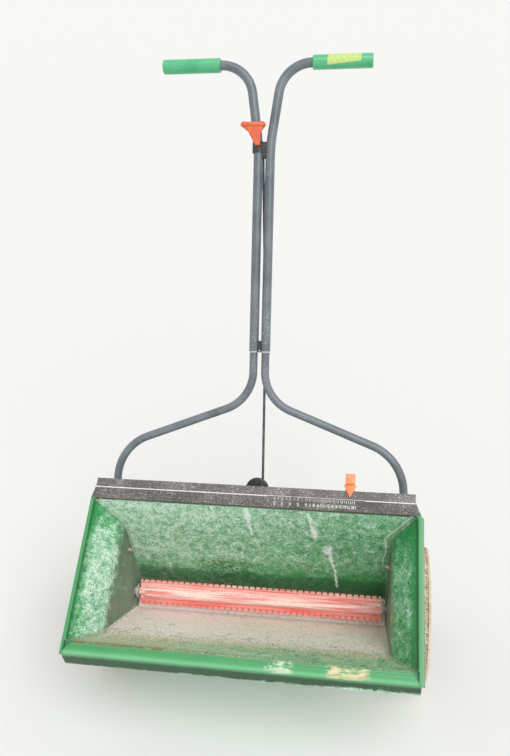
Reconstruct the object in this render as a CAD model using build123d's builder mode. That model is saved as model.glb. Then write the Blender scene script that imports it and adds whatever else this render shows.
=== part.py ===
from build123d import *
from math import cos, radians, sin, tan
import os

os.makedirs("parts", exist_ok=True)

# A walk-behind drop spreader, in millimetres: a moulded trough hopper on a wheel axle that turns a notched
# agitator over a row of ports. +X is the machine's left-to-right, +Y runs back to the handle, +Z is up.
# It travels towards -Y. The origin is on the ground under the middle of the whole machine.

# Stance: the hopper's rim drops to the front by this angle, and the handle rises from the rim by the other.
rim_lean = 29.5
handle_rise = 30.5

# Agitator: a round core, tapered at its ends, with a notched fin on each of two sides
agitator_dia = 52.0
agitator_core_dia = 22.0
core_taper = 18.0
core_end_dia = 15.0
fin_thickness = 3.0
fin_count = 2
fin_roll = 60.0
fin_inset = 3.0
notch_count = 40
notch_pitch = 12.4
notch_width = 3.6
notch_depth = 7.0
agitator_floor_gap = 6.0
agitator_wall_gap = 11.5
agitator_end_gap = 8.0

# Hopper walls, measured in the hopper's own frame: a runs back along the rim, b rises square to it
hopper_wall = 3.0
rim_height = 223.5
front_draft = 24.0
rear_draft = 21.2
end_draft_step = 3.8
rim_flare = 44.0
fold_over_wheel = 30.0
fold_round = 14.0
corner_radius = 8.0
hem_width = 4.5
hem_flare = 6.0
hem_depth = 18.0
lip_radius = 12.0
lip_mitre_width = 18.0
lip_mitre_length = 18.0
skirt_length = 30.0
skirt_flare = 22.0
port_length = 14.0
port_width = 9.0

# Wheels and axle
wheel_dia = 254.0
wheel_width = 38.0
wheel_side_gap = 8.3
tread_wall = 5.0
tread_rib_count = 4
tread_rib_height = 2.0
tread_rib_width = 4.0
web_thickness = 4.0
spoke_count = 8
spoke_thickness = 4.0
spoke_height = 9.0
hub_dia = 40.0
axle_dia = 12.0
axle_clearance = 0.08
cap_dia = 24.0
cap_thickness = 4.0
cap_inset = 1.0

# Bushes in the end walls
bush_dia = 20.0
bush_flange_dia = 30.0
bush_flange = 3.0
hub_gap = 1.0

# Scale panel on the rear ledge
panel_thickness = 2.0
panel_rise = 14.3
panel_slope_run = 19.5
panel_shelf = 15.5
panel_end_taper = 11.0
panel_back = 11.0
ledge_skirt = 22.0
ledge_inset = 1.5

# Shutter under the floor
shutter_thickness = 1.5
shutter_width = 30.0
shutter_offset = 8.0
shutter_clearance = 0.3
shutter_stud_dia = 9.5
stud_bore_clearance = 0.3
rail_thickness = 2.0
rail_lip = 6.0

# Handle: lower tubes beside the hopper, upper tubes that run up together and turn out into the grips
upper_tube_dia = 18.0
tube_wall = 1.0
slip_clearance = 0.15
slip_length = 40.0
pad_height = 8.0
pad_width = 24.0
tube_middle_x = 11.5
tube_gap_start = 357.0
outer_corner_s = 161.0
middle_corner_s = 265.0
outer_bend_radius = 95.0
middle_bend_radius = 80.0
spread_start_s = 753.0
grip_line_s = 905.0
top_corner_x = 33.0
spread_bend_radius = 350.0
top_bend_radius = 63.0
grip_start_x = 88.0
grip_length = 113.0
grip_dia = 27.0
grip_clearance = 0.1
grip_edge_radius = 3.0
grip_end_wall = 2.0
lower_bolt_a = 64.0
lower_bolt_b = 89.0
bolt_spacing = 42.0
tube_foot_angle = 47.4
tube_foot_margin = 12.0
knee_radius = 40.0
seat_clearance = 0.3

# Trigger and its bracket on the left upper tube
trigger_s = 794.0
trigger_x = -20.5
trigger_width = 48.0
trigger_dip = 2.5
trigger_horn = 7.5
trigger_wing = 19.0
trigger_neck = 24.0
trigger_neck_shift = 2.5
trigger_height = 45.0
trigger_foot = 9.0
trigger_foot_shift = 9.0
trigger_thickness = 7.0
trigger_bead_dia = 10.0
trigger_edge_radius = 2.5
collar_thickness = 2.0
collar_length = 20.0
web_tail = 30.0
web_tip_width = 5.0
web_depth = 12.0
lug_length = 18.0
lug_wall = 3.0

# Spacer between the upper tubes at their joint
spacer_length = 22.0
spacer_depth = 12.0

# Control rod, the crank that it turns behind the hopper, and the wire lever down to the shutter
rod_dia = 5.0
rod_back = 16.5
rod_top_x = -5.0
rod_foot_x = 10.0
rod_foot_rise = 5.0
rod_bend_s = 400.0
rod_bend_x = 8.0
rod_bend_radius = 2000.0
crank_dia = 46.0
crank_thickness = 6.0
crank_s = 87.0
crank_edge_radius = 2.0
crank_hub_dia = 14.0
crank_pin_dia = 8.0
crank_pin_head = 2.0
bracket_thickness = 3.0
bracket_width = 30.0
bracket_foot = 42.0
lever_dia = 5.0
lever_pin_drop = 17.0
lever_bend_radius = 14.0
lever_slot_length = 34.0
lever_slot_width = 7.0
lever_hook = 12.0

# Rate pointer: an arrow on the panel's shelf, a thumb block behind it and a leg down the ledge's back
pointer_x = 183.0
pointer_width = 24.0
pointer_length = 24.0
pointer_setback = 2.0
pointer_thickness = 3.0
thumb_width = 17.5
thumb_length = 20.0
thumb_height = 9.0
thumb_edge_radius = 2.0
pointer_leg = 3.0
pointer_hook = 5.0

# Rest stand behind the wheels, and the saddles that hold it to the rear wall
stand_dia = 11.0
stand_half = 150.0
stand_reach = 200.0
stand_top_b = 150.0
stand_knee_b = 40.0
stand_bend_radius = 35.0
saddle_length = 30.0
saddle_b = 100.0
saddle_thickness = 2.5
saddle_ear = 12.0

# Derived places across the machine
axle_z = wheel_dia / 2
axle_r = axle_dia / 2
wheel_r = wheel_dia / 2
agitator_r = agitator_dia / 2
trough_r = agitator_r + agitator_wall_gap
floor_b = -agitator_r - agitator_floor_gap
lean_cos = cos(radians(rim_lean))
lean_sin = sin(radians(rim_lean))
handle_angle = rim_lean + handle_rise
handle_cos = cos(radians(handle_angle))
handle_sin = sin(radians(handle_angle))
lower_tube_dia = upper_tube_dia - 2 * tube_wall - 2 * slip_clearance
agitator_half = notch_count * notch_pitch / 2 + notch_width
floor_half = agitator_half + agitator_end_gap
fold_half = floor_half + end_draft_step
fold_b = wheel_r + fold_over_wheel
rim_half = fold_half + rim_flare
rim_outer = rim_half + hem_width
tube_side_x = fold_half + hopper_wall + pad_height + lower_tube_dia / 2
wheel_inner_x = tube_side_x + lower_tube_dia / 2 + wheel_side_gap
wheel_outer_x = wheel_inner_x + wheel_width
port_pitch = 2 * notch_pitch
port_count = notch_count // 2


def rear_a(b, grow=0.0):
    """Place of the rear wall's inner face at height b, or of a face that far outside it."""
    return (trough_r + grow) / cos(radians(rear_draft)) + b * tan(radians(rear_draft))


def front_a(b, grow=0.0):
    """Place of the front wall's inner face at height b, or of a face that far outside it."""
    return -(trough_r + grow) / cos(radians(front_draft)) - b * tan(radians(front_draft))


def end_x(b):
    """Place of the end wall's inner face at height b: nearly upright, then flared past a rounded fold."""
    low_slope = end_draft_step / (fold_b - floor_b)
    high_slope = rim_flare / (rim_height - fold_b)
    bulge = max(0, fold_round - abs(b - fold_b)) ** 2 / (4 * fold_round) * (high_slope - low_slope)
    slope = low_slope if b < fold_b else high_slope
    return fold_half + (b - fold_b) * slope + bulge


def world_yz(a, b):
    """Turn hopper coordinates into distances back from and above the axle."""
    return a * lean_cos - b * lean_sin, a * lean_sin + b * lean_cos


# The handle's plane starts at the knee, just above the upper bolt.
foot_cos = cos(radians(tube_foot_angle))
foot_sin = sin(radians(tube_foot_angle))
upper_bolt_a = lower_bolt_a + bolt_spacing * foot_cos
upper_bolt_b = lower_bolt_b + bolt_spacing * foot_sin
knee_a = upper_bolt_a + tube_foot_margin * foot_cos
knee_b = upper_bolt_b + tube_foot_margin * foot_sin
foot_a = lower_bolt_a - tube_foot_margin * foot_cos
foot_b = lower_bolt_b - tube_foot_margin * foot_sin
knee_y, knee_z = world_yz(knee_a, knee_b)

# The front lip's roll, and the skirt below it
lip_b = rim_height - lip_radius
lip_a = front_a(lip_b) - lip_radius
skirt_a = lip_a - lip_radius
skirt_foot_a = skirt_a - skirt_length * sin(radians(skirt_flare))
skirt_foot_b = lip_b - skirt_length * cos(radians(skirt_flare))

rear_reach = knee_y + grip_line_s * handle_cos + grip_dia / 2
front_reach = max(-world_yz(skirt_foot_a, skirt_foot_b)[0], lip_radius - world_yz(lip_a, lip_b)[0])
axle_y = -(rear_reach - front_reach) / 2

side_plane = Plane(origin=(0, axle_y, axle_z), x_dir=(0, lean_cos, lean_sin), z_dir=(1, 0, 0))
front_plane = Plane(origin=(0, axle_y, axle_z), x_dir=(1, 0, 0), z_dir=(0, -lean_cos, -lean_sin))
floor_plane = Plane(origin=(0, axle_y, axle_z), x_dir=(1, 0, 0), z_dir=(0, -lean_sin, lean_cos))
handle_plane = Plane(
    origin=(0, axle_y + knee_y, axle_z + knee_z), x_dir=(1, 0, 0), z_dir=(0, -handle_sin, handle_cos)
)
floor_axis = Axis((0, 0, 0), floor_plane.z_dir)
handle_axis = Axis((0, 0, 0), handle_plane.z_dir)


def side_point(x, a, b):
    """A point at x, given in the hopper's frame."""
    y, z = world_yz(a, b)
    return Vector(x, axle_y + y, axle_z + z)


def handle_point(x, s, lift=0.0):
    """A point at x and distance s up the handle's plane, lifted square to it towards the front."""
    return handle_plane.from_local_coords(Vector(x, s, lift))


def axle_plane(x):
    """A plane square to the axle at x."""
    return Plane(origin=(x, axle_y, axle_z), x_dir=(0, 1, 0), z_dir=(1, 0, 0))


def across_handle(s):
    """A plane square to the handle's run at distance s up it, facing down the run, with lift along its y."""
    return Plane(origin=handle_point(0, s), x_dir=(1, 0, 0), z_dir=(0, -handle_cos, -handle_sin))


def hopper_band(low, high, grow):
    """The hopper's rounded section carried from one height to another, grown outward by the same amount."""
    with BuildPart() as band:
        for b in (low, high):
            front, rear = front_a(b, grow), rear_a(b, grow)
            with BuildSketch(floor_plane.offset(b)):
                with Locations((0, (front + rear) / 2)):
                    RectangleRounded(2 * (end_x(b) + grow), rear - front, corner_radius + grow)
        loft(ruled=True)
    return band.part


def tube_along(path, outer, inner):
    """A round tube along a path, hollow where an inner diameter is given."""
    with BuildPart() as made:
        with BuildSketch(Plane(origin=path @ 0, z_dir=path % 0)):
            Circle(outer / 2)
            if inner:
                Circle(inner / 2, mode=Mode.SUBTRACT)
        sweep(path=path)
    return made


def save(piece, name):
    """Label a finished piece and write it to its own file."""
    piece.part.label = name
    export_step(piece.part, f"parts/{name}.step")


# The rear ledge's top follows the scale panel: a slope up from the rim, then a shelf
ledge_a = rear_a(rim_height)
ridge_a = ledge_a + panel_slope_run
ridge_b = rim_height + panel_rise
shelf_a = ridge_a + panel_shelf


def ledge_sheet(top, drop, inset):
    """A bent sheet that thick along the ledge, with a back that tall and its ends cut at a slant."""
    with BuildPart() as sheet:
        with BuildSketch(side_plane):
            with BuildLine():
                Polyline(
                    (ledge_a, rim_height),
                    (ridge_a, ridge_b),
                    (shelf_a, ridge_b),
                    (shelf_a, ridge_b - drop),
                )
                offset(amount=top, side=Side.RIGHT)
            make_face()
        extrude(amount=rim_outer, both=True)
        with BuildSketch(floor_plane):
            with BuildLine():
                half = rim_outer - inset
                Polyline(
                    (half, ledge_a),
                    (half - panel_end_taper, ridge_a),
                    (half - panel_end_taper, shelf_a),
                    (-half + panel_end_taper, shelf_a),
                    (-half + panel_end_taper, ridge_a),
                    (-half, ledge_a),
                    close=True,
                )
            make_face()
        extrude(amount=2 * rim_height, mode=Mode.INTERSECT)
    return sheet


scale_panel = ledge_sheet(panel_thickness, panel_back, 0)
save(scale_panel, "scale_panel")

# Heights between which the walls run straight: the fold is rounded over the middle ones
fold_heights = (fold_b - fold_round, fold_b - fold_round / 3, fold_b + fold_round / 3, fold_b + fold_round)

# The space inside the hopper, open above the rim
with BuildPart() as hollow:
    add(hopper_band(floor_b, fold_heights[0], 0))
    fillet(hollow.faces().sort_by(floor_axis)[0].edges(), radius=corner_radius - hopper_wall)
    for low, high in zip(fold_heights, (*fold_heights[1:], rim_height + lip_radius)):
        add(hopper_band(low, high, 0))

with BuildPart() as hopper:
    # Walls: a drafted section up to the fold, and one that flares out to the rim
    add(hopper_band(floor_b - hopper_wall, fold_heights[0], hopper_wall))
    fillet(hopper.faces().sort_by(floor_axis)[0].edges(), radius=corner_radius)
    for low, high in zip(fold_heights, (*fold_heights[1:], rim_height)):
        add(hopper_band(low, high, hopper_wall))
    # Hems along the end walls' rims, bent down and outward
    for side in (-1, 1):
        with BuildSketch(front_plane.offset(-ledge_a)):
            with BuildLine():
                hem_foot = rim_height - hem_depth
                Polyline(
                    (side * rim_half, rim_height),
                    (side * rim_outer, rim_height),
                    (side * (rim_outer + hem_flare), hem_foot),
                    (side * (rim_outer + hem_flare - hopper_wall), hem_foot),
                    (side * (rim_half + hopper_wall), rim_height - hopper_wall),
                    (side * rim_half, rim_height - hopper_wall),
                    close=True,
                )
            make_face()
        extrude(amount=ledge_a - skirt_a)
    # Handle pads on the end walls, each with a groove for the tube
    for side in (-1, 1):
        with BuildSketch(side_plane.offset(side * floor_half)):
            with Locations(((lower_bolt_a + upper_bolt_a) / 2, (lower_bolt_b + upper_bolt_b) / 2)):
                SlotOverall(bolt_spacing + pad_width, pad_width, rotation=tube_foot_angle)
        extrude(amount=side * (tube_side_x - floor_half))
        foot = side_point(side * tube_side_x, foot_a, foot_b)
        foot_line = side_point(side * tube_side_x, knee_a, knee_b) - foot
        with BuildSketch(Plane(origin=foot - foot_line, z_dir=foot_line)):
            Circle(lower_tube_dia / 2 + seat_clearance)
        extrude(amount=3 * foot_line.length, mode=Mode.SUBTRACT)
    add(hollow.part, mode=Mode.SUBTRACT)
    # Rear ledge under the scale panel, with a skirt down its back
    add(ledge_sheet(panel_thickness + hopper_wall, ledge_skirt, ledge_inset).part)
    add(scale_panel.part, mode=Mode.SUBTRACT)
    # Front lip: a bent sheet rolled over the rim, closed at its ends
    with BuildSketch(side_plane):
        with BuildLine():
            roll = ThreePointArc((lip_a + lip_radius, lip_b), (lip_a, rim_height), (skirt_a, lip_b))
            Line(roll @ 1, (skirt_foot_a, skirt_foot_b))
            offset(amount=hopper_wall, side=Side.LEFT)
        make_face()
    extrude(amount=rim_outer, both=True)
    for side in (-1, 1):
        with BuildSketch(side_plane.offset(side * (rim_half - lip_mitre_width - hopper_wall))):
            with BuildLine():
                inner_a = lip_a + lip_radius
                roll = ThreePointArc((inner_a, lip_b), (lip_a, rim_height), (skirt_a, lip_b))
                plug_b = lip_b - hopper_wall
                Polyline(roll @ 1, (skirt_a, plug_b), (inner_a, plug_b), roll @ 0)
            make_face()
        extrude(amount=side * (lip_mitre_width + hopper_wall + hem_width))
        # The mitre where the roll meets the end wall
        with BuildSketch(floor_plane.offset(lip_b)):
            with BuildLine():
                Polyline(
                    (side * rim_half, inner_a),
                    (side * (rim_half - lip_mitre_width), inner_a),
                    (side * rim_half, inner_a - lip_mitre_length),
                    close=True,
                )
            make_face()
        extrude(amount=2 * lip_radius, mode=Mode.SUBTRACT)
    # Bush seats
    with BuildSketch(axle_plane(0)):
        Circle(bush_dia / 2 + slip_clearance)
    extrude(amount=floor_half + 2 * hopper_wall, both=True, mode=Mode.SUBTRACT)
    # Ports in the floor
    with BuildSketch(floor_plane.offset(floor_b + hopper_wall)):
        with GridLocations(port_pitch, 1, port_count, 1):
            Rectangle(port_length, port_width)
    extrude(amount=-3 * hopper_wall, mode=Mode.SUBTRACT)
save(hopper, "hopper")

# Shutter plate and its rails. Its ports stand clear of the floor's by the set offset, and a stud between two
# of them takes the wire lever.
floor_low = floor_b - hopper_wall
shutter_low = floor_low - shutter_clearance - shutter_thickness
shutter_a = (front_a(floor_b) + rear_a(floor_b)) / 2
rail_top = shutter_low - shutter_clearance
lever_r = lever_dia / 2
lever_x = -shutter_offset / 2
lever_low_b = rail_top - rail_thickness - seat_clearance - lever_r
with BuildPart() as shutter:
    with BuildSketch(floor_plane.offset(shutter_low)):
        with Locations((0, shutter_a)):
            Rectangle(2 * agitator_half, shutter_width)
        with Locations((lever_x + port_pitch / 2, 0)):
            with GridLocations(port_pitch, 1, port_count - 1, 1):
                Rectangle(port_length, port_width, mode=Mode.SUBTRACT)
    extrude(amount=shutter_thickness)
    with BuildSketch(floor_plane.offset(shutter_low)):
        with Locations((lever_x, shutter_a)):
            Circle(shutter_stud_dia / 2)
    extrude(amount=lever_low_b - shutter_stud_dia / 2 - shutter_low)
    with BuildSketch(front_plane):
        with Locations((lever_x, lever_low_b)):
            Circle(lever_r + stud_bore_clearance)
    extrude(amount=shutter_width, both=True, mode=Mode.SUBTRACT)
save(shutter, "shutter")

rail_inner = shutter_width / 2 + shutter_clearance
for name, side in (("shutter_rail_front", -1), ("shutter_rail_rear", 1)):
    with BuildPart() as rail:
        with BuildSketch(side_plane):
            with BuildLine():
                Polyline(
                    (shutter_a + side * rail_inner, floor_low),
                    (shutter_a + side * (rail_inner + rail_thickness), floor_low),
                    (shutter_a + side * (rail_inner + rail_thickness), rail_top - rail_thickness),
                    (shutter_a + side * (rail_inner - rail_lip), rail_top - rail_thickness),
                    (shutter_a + side * (rail_inner - rail_lip), rail_top),
                    (shutter_a + side * rail_inner, rail_top),
                    close=True,
                )
            make_face()
        extrude(amount=agitator_half, both=True)
    save(rail, name)

# Bushes, axle and the caps on its ends
for name, side in (("bush_left", -1), ("bush_right", 1)):
    flange_x = agitator_half + shutter_clearance
    with BuildPart() as bush:
        with BuildSketch(axle_plane(side * flange_x)):
            Circle(bush_flange_dia / 2)
        extrude(amount=side * bush_flange)
        with BuildSketch(axle_plane(side * flange_x)):
            Circle(bush_dia / 2)
        extrude(amount=side * (wheel_inner_x - hub_gap - flange_x))
        with BuildSketch(axle_plane(side * agitator_half)):
            Circle(axle_r + axle_clearance)
        extrude(amount=side * wheel_inner_x, mode=Mode.SUBTRACT)
    save(bush, name)

with BuildPart() as axle:
    with BuildSketch(axle_plane(0)):
        Circle(axle_r)
    extrude(amount=wheel_outer_x + cap_thickness - cap_inset, both=True)
save(axle, "axle")

for name, side in (("axle_cap_left", -1), ("axle_cap_right", 1)):
    with BuildPart() as cap:
        with BuildSketch(axle_plane(side * (wheel_outer_x + slip_clearance))):
            Circle(cap_dia / 2)
            Circle(axle_r, mode=Mode.SUBTRACT)
        extrude(amount=side * cap_thickness)
    save(cap, name)

# Agitator: a core turned with a taper at each end, and its fins, notched all along their edges
with BuildPart() as agitator:
    with BuildSketch(Plane(origin=(0, axle_y, axle_z), x_dir=(1, 0, 0), z_dir=(0, -1, 0))):
        with BuildLine():
            Polyline(
                (-agitator_half, 0),
                (-agitator_half, core_end_dia / 2),
                (-agitator_half + core_taper, agitator_core_dia / 2),
                (agitator_half - core_taper, agitator_core_dia / 2),
                (agitator_half, core_end_dia / 2),
                (agitator_half, 0),
                close=True,
            )
        make_face()
    revolve(axis=Axis((0, axle_y, axle_z), (1, 0, 0)))
    with BuildSketch(axle_plane(-agitator_half + fin_inset)):
        with PolarLocations(0, fin_count, start_angle=fin_roll):
            with Locations((agitator_r / 2, 0)):
                Rectangle(agitator_r, fin_thickness)
    extrude(amount=2 * (agitator_half - fin_inset))
    with BuildSketch(axle_plane(-agitator_half)):
        Circle(axle_r)
    extrude(amount=2 * agitator_half, mode=Mode.SUBTRACT)
    notch_start = -(notch_count - 1) / 2 * notch_pitch - notch_width / 2
    with BuildSketch(*[axle_plane(notch_start + step * notch_pitch) for step in range(notch_count)]):
        Circle(agitator_dia)
        Circle(agitator_r - notch_depth, mode=Mode.SUBTRACT)
    extrude(amount=notch_width, mode=Mode.SUBTRACT)
save(agitator, "agitator")

# Wheels: a ribbed tread, a web with spokes on its outer side, and a long hub
tread_r = wheel_r - tread_rib_height
for name, side, bore_r in (("wheel_left", -1, axle_r), ("wheel_right", 1, axle_r + axle_clearance)):
    web_x = wheel_outer_x - (wheel_width + web_thickness) / 2
    with BuildPart() as wheel:
        with BuildSketch(axle_plane(side * wheel_inner_x)):
            Circle(tread_r)
            Circle(tread_r - tread_wall, mode=Mode.SUBTRACT)
        extrude(amount=side * wheel_width)
        rib_pitch = (wheel_width - tread_rib_width) / (tread_rib_count - 1)
        ribs = [wheel_inner_x + rib * rib_pitch for rib in range(tread_rib_count)]
        with BuildSketch(*[axle_plane(side * rib_x) for rib_x in ribs]):
            Circle(wheel_r)
            Circle(tread_r - tread_wall / 2, mode=Mode.SUBTRACT)
        extrude(amount=side * tread_rib_width)
        with BuildSketch(axle_plane(side * web_x)):
            Circle(tread_r - tread_wall / 2)
        extrude(amount=side * web_thickness)
        with BuildSketch(axle_plane(side * (web_x + web_thickness / 2))):
            with PolarLocations(0, spoke_count):
                with Locations((tread_r / 2, 0)):
                    Rectangle(tread_r - tread_wall, spoke_thickness)
        extrude(amount=side * (web_thickness / 2 + spoke_height))
        with BuildSketch(axle_plane(side * wheel_inner_x)):
            Circle(hub_dia / 2)
        extrude(amount=side * wheel_width)
        with BuildSketch(axle_plane(side * wheel_inner_x)):
            Circle(bore_r)
        extrude(amount=side * wheel_width, mode=Mode.SUBTRACT)
    save(wheel, name)

# Lower tubes, from the pads on the end walls up to the middle; the right one is the left one's mirror image
with BuildLine() as lower_route:
    FilletPolyline(
        side_point(-tube_side_x, foot_a, foot_b),
        handle_point(-tube_side_x, 0),
        handle_point(-tube_side_x, outer_corner_s),
        handle_point(-tube_middle_x, middle_corner_s),
        handle_point(-tube_middle_x, tube_gap_start + slip_length),
        radius=[knee_radius, outer_bend_radius, middle_bend_radius],
    )
lower_tube_left = tube_along(lower_route.wires()[0], lower_tube_dia, lower_tube_dia - 2 * tube_wall)
save(lower_tube_left, "lower_tube_left")

with BuildPart() as lower_tube_right:
    mirror(lower_tube_left.part, about=Plane.YZ)
save(lower_tube_right, "lower_tube_right")

# Upper tubes, slipped over the lower ones: they run up together, spread and turn out into the grips
tube_bores = []
for name, side in (("upper_tube_left", -1), ("upper_tube_right", 1)):
    with BuildLine() as upper_route:
        FilletPolyline(
            handle_point(side * tube_middle_x, tube_gap_start),
            handle_point(side * tube_middle_x, spread_start_s),
            handle_point(side * top_corner_x, grip_line_s),
            handle_point(side * (grip_start_x + grip_length - grip_end_wall), grip_line_s),
            radius=[spread_bend_radius, top_bend_radius],
        )
    route = upper_route.wires()[0]
    tube_bores.append(tube_along(route, upper_tube_dia + 2 * seat_clearance, 0))
    save(tube_along(route, upper_tube_dia, upper_tube_dia - 2 * tube_wall), name)

for name, side in (("grip_left", -1), ("grip_right", 1)):
    start = handle_point(side * grip_start_x, grip_line_s)
    with BuildPart() as grip:
        with BuildSketch(Plane(origin=start, x_dir=(0, 1, 0), z_dir=(side, 0, 0))):
            Circle(grip_dia / 2)
        extrude(amount=grip_length)
        fillet(grip.edges().filter_by(GeomType.CIRCLE), radius=grip_edge_radius)
        with BuildSketch(Plane(origin=start, x_dir=(0, 1, 0), z_dir=(side, 0, 0))):
            Circle(upper_tube_dia / 2 + grip_clearance)
        extrude(amount=grip_length - grip_end_wall + grip_clearance, mode=Mode.SUBTRACT)
    save(grip, name)

# Spacer that holds the upper tubes apart just above their joint with the lower ones
with BuildPart() as tube_clip:
    with BuildSketch(across_handle(tube_gap_start + seat_clearance + spacer_length)):
        Rectangle(2 * tube_middle_x, spacer_depth)
    extrude(amount=spacer_length)
    for bore in tube_bores:
        add(bore.part, mode=Mode.SUBTRACT)
save(tube_clip, "tube_clip")

# Trigger bracket: a collar on the left tube, a web that tapers down between the tubes, and a lug for the rod
bracket_top_s = trigger_s - trigger_height + trigger_foot
spread_part = (bracket_top_s - spread_start_s) / (grip_line_s - spread_start_s)
bracket_tube_x = tube_middle_x + spread_part * (top_corner_x - tube_middle_x)
rod_top_s = bracket_top_s - lug_length / 2
with BuildPart() as trigger_bracket:
    with BuildSketch(across_handle(bracket_top_s)):
        with Locations((-bracket_tube_x, 0)):
            Circle(upper_tube_dia / 2 + collar_thickness)
    extrude(amount=collar_length)
    with BuildSketch(handle_plane.offset(-web_depth / 2)):
        with BuildLine():
            Polyline(
                (-bracket_tube_x, bracket_top_s),
                (bracket_tube_x, bracket_top_s),
                (web_tip_width / 2, bracket_top_s - web_tail),
                (-web_tip_width / 2, bracket_top_s - web_tail),
                close=True,
            )
        make_face()
    extrude(amount=web_depth)
    lug_width = rod_dia + 2 * lug_wall
    with BuildSketch(across_handle(bracket_top_s)):
        with Locations((rod_top_x, -rod_back)):
            Circle(lug_width / 2)
        with Locations((rod_top_x / 2, -rod_back / 2)):
            Rectangle(lug_width / 2, rod_back)
    extrude(amount=lug_length)
    for bore in tube_bores:
        add(bore.part, mode=Mode.SUBTRACT)
    # A bore for the rod's top end, from below
    with BuildSketch(across_handle(rod_top_s + slip_clearance)):
        with Locations((rod_top_x, -rod_back)):
            Circle(rod_dia / 2 + slip_clearance)
    extrude(amount=lug_length, mode=Mode.SUBTRACT)
save(trigger_bracket, "trigger_bracket")

# Trigger: a dished wing with a bead along its top, on a neck that narrows down to the bracket's collar
trigger_lift = upper_tube_dia / 2 + collar_thickness + seat_clearance
trigger_plane = Plane(
    origin=handle_point(trigger_x, trigger_s, trigger_lift), x_dir=(1, 0, 0), z_dir=handle_plane.z_dir
)
trigger_half = trigger_width / 2
with BuildPart() as trigger:
    with BuildSketch(trigger_plane) as outline:
        with BuildLine():
            neck_left = trigger_neck_shift - trigger_neck / 2
            neck_right = trigger_neck_shift + trigger_neck / 2
            foot_left = trigger_foot_shift - trigger_foot / 2
            foot_right = trigger_foot_shift + trigger_foot / 2
            Polyline(
                (0, -trigger_dip),
                (trigger_half - trigger_horn / 2, 0),
                (trigger_half, -trigger_horn),
                (neck_right, -trigger_wing),
                (foot_right, -trigger_height),
                (foot_left, -trigger_height),
                (neck_left, -trigger_wing),
                (-trigger_half, -trigger_horn),
                (-trigger_half + trigger_horn / 2, 0),
                close=True,
            )
        make_face()
        fillet(outline.vertices(), radius=trigger_edge_radius + slip_clearance)
    extrude(amount=trigger_thickness)
    fillet(trigger.faces().sort_by(handle_axis)[-1].edges(), radius=trigger_edge_radius)
    # The bead: a round bar with domed ends
    bead_r = trigger_bead_dia / 2
    bead_s = trigger_s - trigger_dip / 2 - bead_r
    with Locations(Plane(origin=handle_point(trigger_x, bead_s, trigger_lift + bead_r), z_dir=(1, 0, 0))):
        Cylinder(bead_r, trigger_width - trigger_bead_dia)
        with Locations((0, 0, trigger_half - bead_r), (0, 0, bead_r - trigger_half)):
            Sphere(bead_r)
save(trigger, "trigger")

# Control rod, from the bracket's lug down behind the tubes to the crank
with BuildLine() as rod_route:
    FilletPolyline(
        handle_point(rod_top_x, rod_top_s, -rod_back),
        handle_point(rod_bend_x, rod_bend_s, -rod_back),
        handle_point(rod_foot_x, crank_s + rod_foot_rise, -rod_back),
        radius=rod_bend_radius,
    )
save(tube_along(rod_route.wires()[0], rod_dia, 0), "control_rod")

# Crank disc: the rod hooks in behind it, and its pin turns in the bracket
crank_back = -rod_back + rod_dia / 2 + seat_clearance
bracket_front = -rod_back - rod_dia / 2 - seat_clearance
with BuildPart() as crank_disc:
    with BuildSketch(handle_plane.offset(crank_back)):
        with Locations((0, crank_s)):
            Circle(crank_dia / 2)
    extrude(amount=crank_thickness)
    fillet(crank_disc.edges().sort_by(handle_axis)[-1], radius=crank_edge_radius)
    with BuildSketch(handle_plane.offset(crank_back)):
        with Locations((0, crank_s)):
            Circle(crank_hub_dia / 2)
    extrude(amount=bracket_front + seat_clearance - crank_back)
    with BuildSketch(handle_plane.offset(crank_back + crank_thickness + crank_pin_head)):
        with Locations((0, crank_s)):
            Circle(crank_pin_dia / 2)
    extrude(amount=bracket_front - bracket_thickness - crank_back - crank_thickness - 2 * crank_pin_head)
save(crank_disc, "crank_disc")


def handle_ab(s, lift):
    """A point of the handle's frame in hopper coordinates."""
    rise_cos, rise_sin = cos(radians(handle_rise)), sin(radians(handle_rise))
    return knee_a + s * rise_cos - lift * rise_sin, knee_b + s * rise_sin + lift * rise_cos


def wall_meeting_s(lift, grow):
    """Distance up the handle at which a line along it at that lift meets the rear wall's face."""
    start_a, start_b = handle_ab(0, lift)
    depth = start_a * cos(radians(rear_draft)) - start_b * sin(radians(rear_draft)) - trough_r - grow
    return -depth / cos(radians(handle_rise + rear_draft))


# Crank bracket: a strip bolted to the rear wall and bent out along the handle
bracket_s = wall_meeting_s(bracket_front, hopper_wall)
bend_a, bend_b = handle_ab(bracket_s, bracket_front)
bracket_foot_b = bend_b - bracket_foot * cos(radians(rear_draft))
lever_grow = hopper_wall + bracket_thickness + seat_clearance + lever_r
with BuildPart() as crank_bracket:
    with BuildSketch(side_plane):
        with BuildLine():
            Polyline(
                handle_ab(crank_s + bracket_width / 2, bracket_front),
                (bend_a, bend_b),
                (rear_a(bracket_foot_b, hopper_wall), bracket_foot_b),
            )
            offset(amount=bracket_thickness, side=Side.LEFT)
        make_face()
    extrude(amount=bracket_width / 2, both=True)
    with BuildSketch(handle_plane.offset(bracket_front)):
        with Locations((0, crank_s)):
            Circle(crank_pin_dia / 2 + slip_clearance)
        # The slot that the wire lever passes through and swings in
        with Locations((lever_x, wall_meeting_s(bracket_front, lever_grow))):
            SlotOverall(lever_slot_length, lever_slot_width, rotation=90)
    extrude(amount=-2 * bracket_thickness, mode=Mode.SUBTRACT)
save(crank_bracket, "crank_bracket")

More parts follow.
